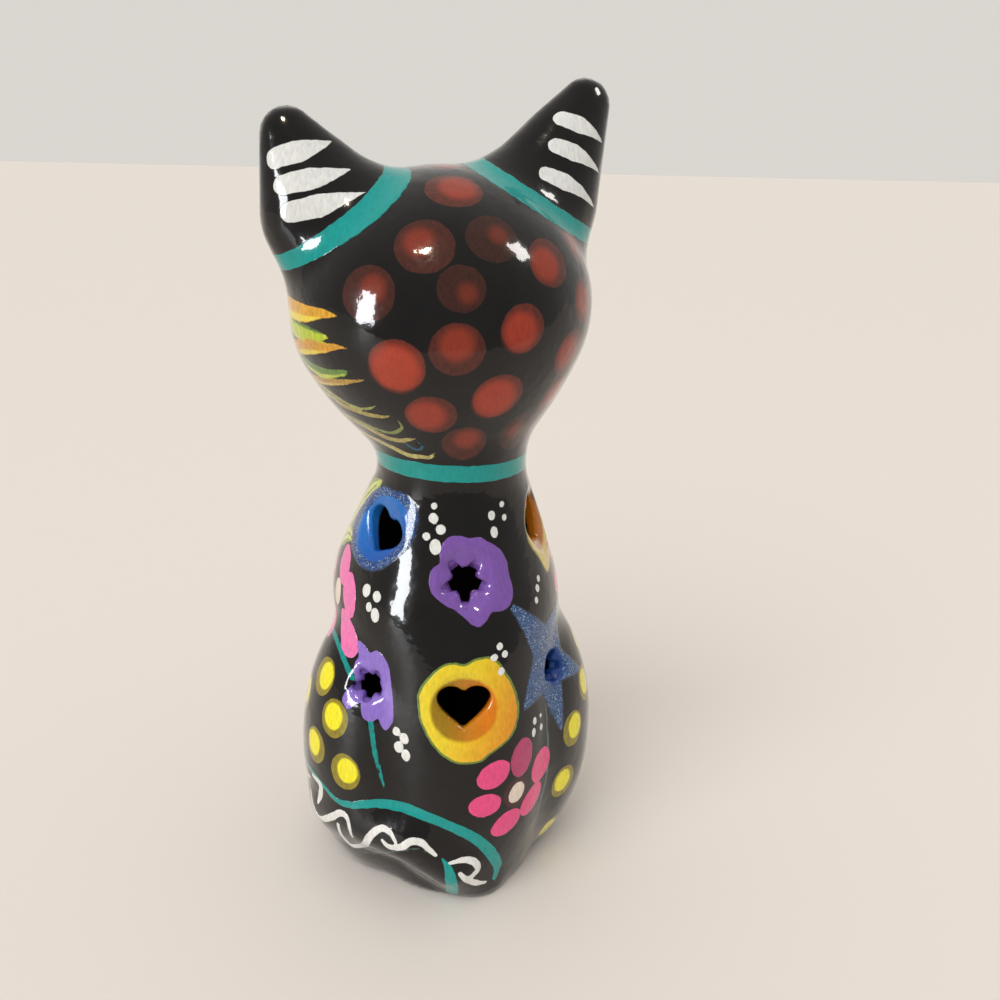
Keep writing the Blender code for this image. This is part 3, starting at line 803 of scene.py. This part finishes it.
# Yellow openings: yellow that runs into orange, edged with thin green, round an orange recess
# with painted shade, olive, on its left; the one at the right shoulder is paler.
RING_YELLOW, RING_ORANGE = colour(240, 212, 46), colour(238, 152, 26)
RECESS_ORANGE, RECESS_PAINTED_SHADE = colour(222, 124, 18), colour(158, 124, 22)
yellow_ring = [
    (172, 68.9), (177, 70), (-176, 70.1), (-172, 68.5), (-169, 65.7), (-166, 62.9), (-164, 59.7),
    (-163, 56.1), (-164, 52.8), (-167, 49.8), (-171, 48), (-177, 46.3), (179, 44.6), (174, 44.2),
    (169, 44.6), (164, 46), (160, 48.2), (156, 51.4), (153, 54.8), (152, 58.5), (152, 61.3),
    (155, 64.3), (158, 66.5), (162, 68.4), (167, 69.4),
]
ochre_ring = [
    (-110, 103.6), (-99, 97.2), (-97, 90.9), (-112, 85.7), (-124, 83.6), (-131, 88.9),
    (-137, 92.6), (-137, 98.2), (-130, 102.7),
]
ring = drawn(LOW_BACK_HEART, yellow_ring)
ring_yellow = ran_between(RING_YELLOW, RING_ORANGE, 0.12, 0.06, -0.024)
# The recess runs from painted shade, olive, on its left to its own orange on the right.
bowl_orange_and_painted_shade = ran_between(RECESS_PAINTED_SHADE, RECESS_ORANGE, 0.45, 0.09, 0.0)
flat_mark("ground", LOW_BACK_HEART, grown(ring, 0.25), colour(120, 146, 60))
flat_mark("body", LOW_BACK_HEART, grown(ring, -0.3), ring_yellow)
flat_mark("bowl", LOW_BACK_HEART, oval(8.2, 7.9, (0.0, -0.4)), bowl_orange_and_painted_shade)
ring = drawn(RIGHT_HEART, ochre_ring)
flat_mark("ground", RIGHT_HEART, grown(ring, 0.2), colour(150, 150, 70))
flat_mark("body", RIGHT_HEART, grown(ring, -0.3), colour(232, 206, 128))
flat_mark("bowl", RIGHT_HEART, oval(7.4, 7.4), colour(190, 112, 20))

# Chest heart: a red ring with small white dots round it, plainer than the back.
flat_mark("body", CHEST_HEART, grown(closed(heart_outline(20.0)), 1.2), colour(190, 40, 50))
for middle, _ in ring_of(count=12, radius=13.8):
    flat_mark("top", CHEST_HEART, oval(1.1, 1.2, middle), WHITE)

# Pink flowers: petals dabbed round a cream centre, one low on the back, one on each shoulder,
# and plainer ones on the chest, the brow and the right side.
PINK, PINK_DEEP, PINK_PALE = colour(240, 80, 138), colour(190, 66, 112), colour(244, 124, 184)
CREAM, MAROON = colour(240, 222, 206), colour(70, 26, 32)
low_flower = on_body(-164, 32.4)
flat_mark("top", low_flower, oval(2.5, 3.0, (0.0, 0.0), (0.4, 0.92)), CREAM)
flat_mark("ground", low_flower, oval(4.0, 4.4), MAROON)
low_petals = [
    (((-160.5, 47.3), (-163, 36.8)), 3.6, PINK_DEEP), (((-146, 40.6), (-151, 31.4)), 3.7, PINK),
    (((-148, 30.6), (-160, 24.0)), 3.5, PINK), (((-162, 26.6), (-175, 21.4)), 3.4, PINK),
    (((-172, 31.9), (174, 31.1)), 3.4, PINK), (((-169, 42.4), (178, 37.4)), 3.5, PINK),
]
for ends, half_width, tint in low_petals:
    dab(low_flower, ends, half_width, tint)
shoulder_flower = on_body(89, 77)
flat_mark("top", shoulder_flower, oval(2.3, 3.6), CREAM)
flat_mark("ground", shoulder_flower, oval(4.4, 5.0), MAROON)
shoulder_petals = [
    ((85, 89.0), (95, 80.0)), ((98, 84.0), (107, 73.4)), ((97, 74.0), (114, 64.6)),
    ((80, 72.6), (88, 64.0)), ((66, 74.4), (79, 72.0)), ((62, 82.2), (78, 80.4)),
]
for ends in shoulder_petals:
    dab(shoulder_flower, ends, 3.0, PINK_PALE)
plain_flowers = [
    (on_body(-92, 80), 8.2, PINK, 20.0), (on_body(38, 62), 7.4, PINK_PALE, 0.0),
    (on_body(-38, 62), 7.4, PINK, 30.0), (on_head(0, 36), 6.8, PINK, 0.0),
]
for place, radius, tint, turn in plain_flowers:
    flat_mark("ground", place, oval(0.62 * radius, 0.62 * radius), MAROON, reach=16.0)
    flat_mark("top", place, oval(1.9, 2.3), CREAM, reach=16.0)
    for middle, along in ring_of(6, radius, turn):
        flat_mark("body", place, oval(2.7, 4.0, middle, along), tint, reach=18.0)

# Shoulder leaves: yellow-green leaves with a brown rib that climb from the chest to the neck
# on both sides.
LEAF, LEAF_PALE, LEAF_RIB = colour(150, 168, 56), colour(214, 224, 112), colour(112, 92, 50)
leaves = [
    [(104, 107.6), (88, 103.4), (71, 95.0), (60, 87)], [(90, 91.0), (74, 90.0), (58, 82)],
    [(68, 107), (56, 102), (44, 94), (38, 88)], [(50, 84), (42, 80), (34, 73)],
]
for side, spread in ((1, 1.0), (-1, 0.85)):
    for leaf in leaves:
        knots = np.array(leaf) * (side * spread, 1.0)
        swell = [0.3] + [3.3] * (len(leaf) - 2) + [0.3]
        body_stroke("ground", knots, swell, LEAF)
        body_stroke("core", knots, [0.6 * wide for wide in swell], LEAF_PALE)
        body_stroke("body", knots, [0.1] + [0.28] * (len(leaf) - 2) + [0.1], LEAF_RIB)

# Face: a plain painted mask of petals, the maker's usual ornament on the side not seen.
IRIS, PUPIL, NOSE_PINK = colour(30, 160, 120), colour(12, 10, 11), colour(228, 96, 140)
WHISKERS = ((14, -22), (15, -28), (14, -34))
for side in (1, -1):
    eye_place = on_head(side * 25, 6)
    petals = ring_of(count=12, radius=9.0, turn=-12.0 * side)
    for index, (middle, along) in enumerate(petals):
        tint = colour(240, 150, 30) if index % 2 else PINK
        flat_mark("ground", eye_place, oval(1.7, 3.0, middle, along), tint)
    flat_mark("body", eye_place, oval(7.2, 5.2), WHITE)
    flat_mark("bowl", eye_place, oval(4.3, 4.5), IRIS)
    flat_mark("top", eye_place, oval(1.5, 3.2), PUPIL)
    for index, (angle, lift) in enumerate(WHISKERS):
        steps, rises = np.array([0, 16, 34]), np.array([0, 3 - 3 * index, 5 - 7 * index])
        stroke("body", on_head(side * (angle + steps), lift + rises), [0.8, 0.6, 0.1], WHITE)
    mouth = on_head(side * np.array([0, 5, 11]), np.array([-27, -31, -28]))
    stroke("body", mouth, [0.5, 0.6, 0.2], WHITE)
flat_mark("body", on_head(0, -15), oval(3.6, 2.6), NOSE_PINK, reach=14.0)

# Paws: three short white strokes on each for its toes.
TOE_GAP, TOES_FROM, TOE_HEIGHT = 4.0, -30.0, 5.0
for side in (1, -1):
    for across in (-TOE_GAP, 0.0, TOE_GAP):
        start = (side * PAW_AT[0] + across, TOES_FROM, TOE_HEIGHT)
        toe = seat(start, [(0.0, -0.8, 0.6), (0.0, -1.0, 0.0)])
        stroke("top", toe, [0.9, 0.35], WHITE)

# The shell's mesh is cut finer round the openings and wherever paint has an edge, then laid
# on its form, and the paint is kept on it: a distance and a colour for each layer.
CUTS = ((0.8, LAYERS), (0.36, ("core", "body", "top")))
for reach, fine_layers in CUTS:
    points = form_points(shell)
    depth = cat_form(points)
    coats = painted(points)
    edges = np.min([np.abs(coats[name][0]) for name in fine_layers], axis=0)
    edges[depth < -RAW_DEPTH] = FAR
    edges = np.minimum(edges, from_openings(points, depth > -BEHIND_WALL))
    split_faces(shell, edges, reach)
bpy.ops.object.mode_set(mode="EDIT")
bpy.ops.mesh.select_all(action="SELECT")
bpy.ops.mesh.quads_convert_to_tris()
bpy.ops.object.mode_set(mode="OBJECT")
put_points(shell, settled(shell_form, form_points(shell), 9))
bpy.ops.object.shade_smooth()


def store(name, values):
    """Keeps one number or colour per vertex on the shell."""
    if values.ndim == 1:
        slot = shell.data.attributes.new(name, "FLOAT", "POINT")
        slot.data.foreach_set("value", values.astype(np.float32))
    else:
        slot = shell.data.attributes.new(name, "FLOAT_COLOR", "POINT")
        full = np.concatenate([values, np.ones((len(values), 1))], axis=1)
        slot.data.foreach_set("color", full.astype(np.float32).ravel())


skin = form_points(shell)
for name, (edges, colours) in painted(skin).items():
    store(name + "_edge", np.clip(edges, -FAR, FAR))
    store(name + "_colour", colours)
store("inside", np.clip((-cat_form(skin) - RAW_DEPTH) * 2.0, 0.0, 1.0))

# The finish: black lacquer ground, brushed colours, glitter, and a thick clear coat whose
# slight unevenness breaks up the reflections.
lacquer = bpy.data.materials.new("painted_lacquer")
lacquer.use_nodes = True
nodes = lacquer.node_tree.nodes
links = lacquer.node_tree.links
shader = nodes["Principled BSDF"]


def add(kind, **settings):
    made = nodes.new("ShaderNode" + kind)
    for key, value in settings.items():
        setattr(made, key, value)
    return made


def feed(socket, value):
    """Sets a socket, by a link where the value is another node's output."""
    if isinstance(value, bpy.types.NodeSocket):
        links.new(value, socket)
    else:
        socket.default_value = value


def maths(operation, *values):
    made = add("Math", operation=operation)
    for socket, value in zip(made.inputs, values):
        feed(socket, value)
    return made.outputs[0]


def ranged(value, low, high, to_low=0.0, to_high=1.0, smooth=False):
    made = add("MapRange", interpolation_type="SMOOTHSTEP" if smooth else "LINEAR")
    for socket, number in zip(made.inputs, (value, low, high, to_low, to_high)):
        feed(socket, number)
    return made.outputs[0]


def mixed(share, one, other):
    made = add("Mix", data_type="RGBA")
    feed(made.inputs[0], share)
    feed(made.inputs[6], one)
    feed(made.inputs[7], other)
    return made.outputs[2]


def noise(scale, detail=2.0, stretch=(1.0, 1.0, 1.0)):
    """Noise over the object, its scale in waves to the metre."""
    place = add("Mapping")
    feed(place.inputs["Vector"], position)
    feed(place.inputs["Scale"], stretch)
    made = add("TexNoise")
    feed(made.inputs["Vector"], place.outputs[0])
    feed(made.inputs["Scale"], scale)
    feed(made.inputs["Detail"], detail)
    return made.outputs[0]


def stored(name):
    return add("Attribute", attribute_name=name)


position = add("TexCoord").outputs["Object"]
hand = maths("MULTIPLY", maths("SUBTRACT", noise(420.0), 0.5), 0.55)
bristle = noise(1500.0, 3.0, (1.0, 1.0, 0.35))
cloud = noise(160.0)


def coverage(name, softness):
    """How fully a layer covers the skin here, from its distance and a wavering hand."""
    distance = maths("ADD", stored(name + "_edge").outputs["Fac"], hand)
    return ranged(distance, softness, -softness, smooth=True)


BLACK = (*colour(9, 8, 9), 1.0)
WARM_BLACK = (*colour(18, 14, 13), 1.0)
RAW_INSIDE = (*colour(46, 32, 26), 1.0)
# The pale flake colour is a painted glint on the blue glitter.
FLAKE, FLAKE_GLINT = (*colour(70, 124, 190), 1.0), (*colour(200, 228, 244), 1.0)
base = mixed(ranged(cloud, 0.3, 0.7), BLACK, WARM_BLACK)
covers = {}
softness = {
    "ground": 0.1, "soft": 1.3, "core": 0.3, "glitter": 0.5, "body": 0.08, "bowl": 0.6, "top": 0.07,
}
for name in LAYERS:
    cover = coverage(name, softness[name])
    tint = stored(name + "_colour").outputs["Color"]
    if name == "ground":
        shade = mixed(ranged(bristle, 0.35, 0.7, 0.0, 0.4), tint, BLACK)
    elif name == "glitter":
        flakes = add("TexVoronoi")
        feed(flakes.inputs["Vector"], position)
        feed(flakes.inputs["Scale"], 5600.0)
        flash = add("SeparateColor")
        feed(flash.inputs[0], flakes.outputs["Color"])
        # A few flakes are painted pale as glints, whichever way the light falls.
        bright = ranged(flash.outputs[0], 0.9, 0.98)
        shade = mixed(ranged(flash.outputs[1], 0.3, 1.0, 0.0, 0.7), tint, FLAKE)
        shade = mixed(bright, shade, FLAKE_GLINT)
        flake_cover = cover
    else:
        deep = add("HueSaturation")
        feed(deep.inputs["Value"], ranged(bristle, 0.3, 0.7, 0.86, 1.06))
        feed(deep.inputs["Color"], tint)
        shade = deep.outputs[0]
    base = mixed(cover, base, shade)
    covers[name] = cover
inside = stored("inside").outputs["Fac"]
base = mixed(inside, base, RAW_INSIDE)
feed(shader.inputs["Base Color"], base)
feed(shader.inputs["Roughness"], ranged(inside, 0.0, 1.0, 0.16, 0.75))
feed(shader.inputs["Coat Weight"], ranged(inside, 0.0, 1.0, 1.0, 0.0))
shader.inputs["Coat Roughness"].default_value = 0.035
shader.inputs["Coat IOR"].default_value = 1.35
shader.inputs["IOR"].default_value = 1.5
shader.inputs["Specular IOR Level"].default_value = 0.1

relief = maths("MULTIPLY", covers["body"], 0.5)
sparkle = maths("MULTIPLY", flash.outputs[2], flake_cover)
swells = ((covers["top"], 1.0), (covers["soft"], 0.3), (cloud, 1.6), (noise(700.0), 0.18), (sparkle, 1.2))
for height, share in swells:
    relief = maths("ADD", relief, maths("MULTIPLY", height, share))
bump = add("Bump")
bump.inputs["Strength"].default_value = 1.0
bump.inputs["Distance"].default_value = 0.00012
feed(bump.inputs["Height"], relief)
feed(shader.inputs["Normal"], bump.outputs[0])
feed(shader.inputs["Coat Normal"], bump.outputs[0])
shell.data.materials.append(lacquer)
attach(shell, "root")
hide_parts("cat")

# The floor is a pale table that ends a little behind the camera, so that the lacquer of the
# cat's back mirrors the dim studio beyond it.
FLOOR_DEPTH, FLOOR_AT, FLOOR_STRETCH = 6.0, (0.0, -2.72, -0.0003), 3.0
PALE = (*colour(236, 228, 220), 1.0)
floor_paint = bpy.data.materials.new("floor")
floor_paint.use_nodes = True
floor_shader = floor_paint.node_tree.nodes["Principled BSDF"]
floor_shader.inputs["Base Color"].default_value = PALE
floor_shader.inputs["Roughness"].default_value = 0.55
bpy.ops.object.select_all(action="DESELECT")
bpy.ops.mesh.primitive_plane_add(size=FLOOR_DEPTH, location=FLOOR_AT)
floor = bpy.context.object
floor.name = "floor"
floor.scale = (FLOOR_STRETCH, 1.0, 1.0)
bpy.ops.object.transform_apply(location=False, rotation=False, scale=True)
floor.data.materials.append(floor_paint)

# The studio is pale behind the cat and dimmer on the camera's side
PALE_SIDE, DIM_TONE, PALE_TONE = (-0.24, -0.80, 0.55), (0.44, 0.43, 0.41, 1.0), (0.70, 0.67, 0.63, 1.0)
world = bpy.data.worlds.new("studio")
world.use_nodes = True
nodes, links = world.node_tree.nodes, world.node_tree.links
facing = add("VectorMath", operation="DOT_PRODUCT")
feed(facing.inputs[0], add("TexCoord").outputs["Generated"])
feed(facing.inputs[1], PALE_SIDE)
tone = mixed(ranged(facing.outputs["Value"], -0.45, 0.7), DIM_TONE, PALE_TONE)
feed(nodes["Background"].inputs["Color"], tone)
bpy.context.scene.world = world
bpy.context.scene.view_settings.view_transform = "Standard"

CAT_MIDDLE = np.array([0.0, 0.0, 0.1])


def stand(data, right, up, back, at):
    """Puts a light or camera in the scene, from its three directions and its place in metres."""
    item = bpy.data.objects.new(data.name, data)
    rows = [(*row, along) for row, along in zip(np.stack([right, up, back], 1), at)]
    item.matrix_world = Matrix(rows + [(0.0, 0.0, 0.0, 1.0)])
    bpy.context.collection.objects.link(item)
    return item


def hang_light(lamp, towards, distance):
    """Puts a light this far from the middle of the cat, in the direction given, facing it."""
    back = np.array(towards) / np.linalg.norm(towards)
    right = np.cross((0.0, 0.0, 1.0), back)
    right = right / np.linalg.norm(right)
    return stand(lamp, right, np.cross(back, right), back, CAT_MIDDLE + distance * back)


def gleam(name, towards, distance, size, power, tint):
    """A small bright light that shows only as a glint on the lacquer."""
    lamp = bpy.data.lights.new(name, "AREA")
    lamp.shape = "RECTANGLE"
    lamp.size, lamp.size_y = size
    lamp.energy = power
    lamp.color = tint
    hang_light(lamp, towards, distance).visible_diffuse = False


# Wide soft daylight from over the camera's left lights the cat and the floor evenly
daylight = bpy.data.lights.new("daylight", "SUN")
daylight.energy = 1.65
daylight.angle = math.radians(50.0)
hang_light(daylight, (0.5, 0.5, 0.7), 1.0).visible_glossy = False

gleam("window", (0.92, 0.37, 0.16), 0.95, (0.24, 0.40), 10.0, (0.94, 0.97, 1.0))
gleam("lamp", (0.26, 0.49, 0.82), 1.1, (0.16, 0.10), 4.2, (1.0, 0.86, 0.70))
gleam("second_window", (-0.75, 0.35, 0.75), 1.3, (0.22, 0.3), 5.0, (1.0, 0.96, 0.92))

# The camera stands where the photo's did: behind the cat, a little to its left, looking down.
# Its place is in the form's millimetres, its angles in degrees.
CAMERA_ANGLE, CAMERA_REACH, CAMERA_HEIGHT = 15.2, 236.95, 186.65
CAMERA_PITCH, CAMERA_YAW, CAMERA_ROLL = 19.82, 2.73, 1.84
CAMERA_LENS, SENSOR = 36.1, 36.0
aim = math.radians(CAMERA_ANGLE)
eye = np.array([math.sin(aim) * CAMERA_REACH, math.cos(aim) * CAMERA_REACH, CAMERA_HEIGHT])
heading = math.radians(CAMERA_ANGLE + CAMERA_YAW)
pitch, roll = math.radians(CAMERA_PITCH), math.radians(CAMERA_ROLL)
forward = np.array([-math.sin(heading) * math.cos(pitch), -math.cos(heading) * math.cos(pitch),
                    -math.sin(pitch)])
right = np.cross(forward, (0.0, 0.0, 1.0))
right = right / np.linalg.norm(right)
up = np.cross(right, forward)
right, up = right * math.cos(roll) + up * math.sin(roll), up * math.cos(roll) - right * math.sin(roll)
view = bpy.data.cameras.new("camera")
view.lens = CAMERA_LENS
view.sensor_width = SENSOR
view.clip_start = 0.01
bpy.context.scene.camera = stand(view, right, up, -forward, (eye + SHELL_SHIFT) * MM)
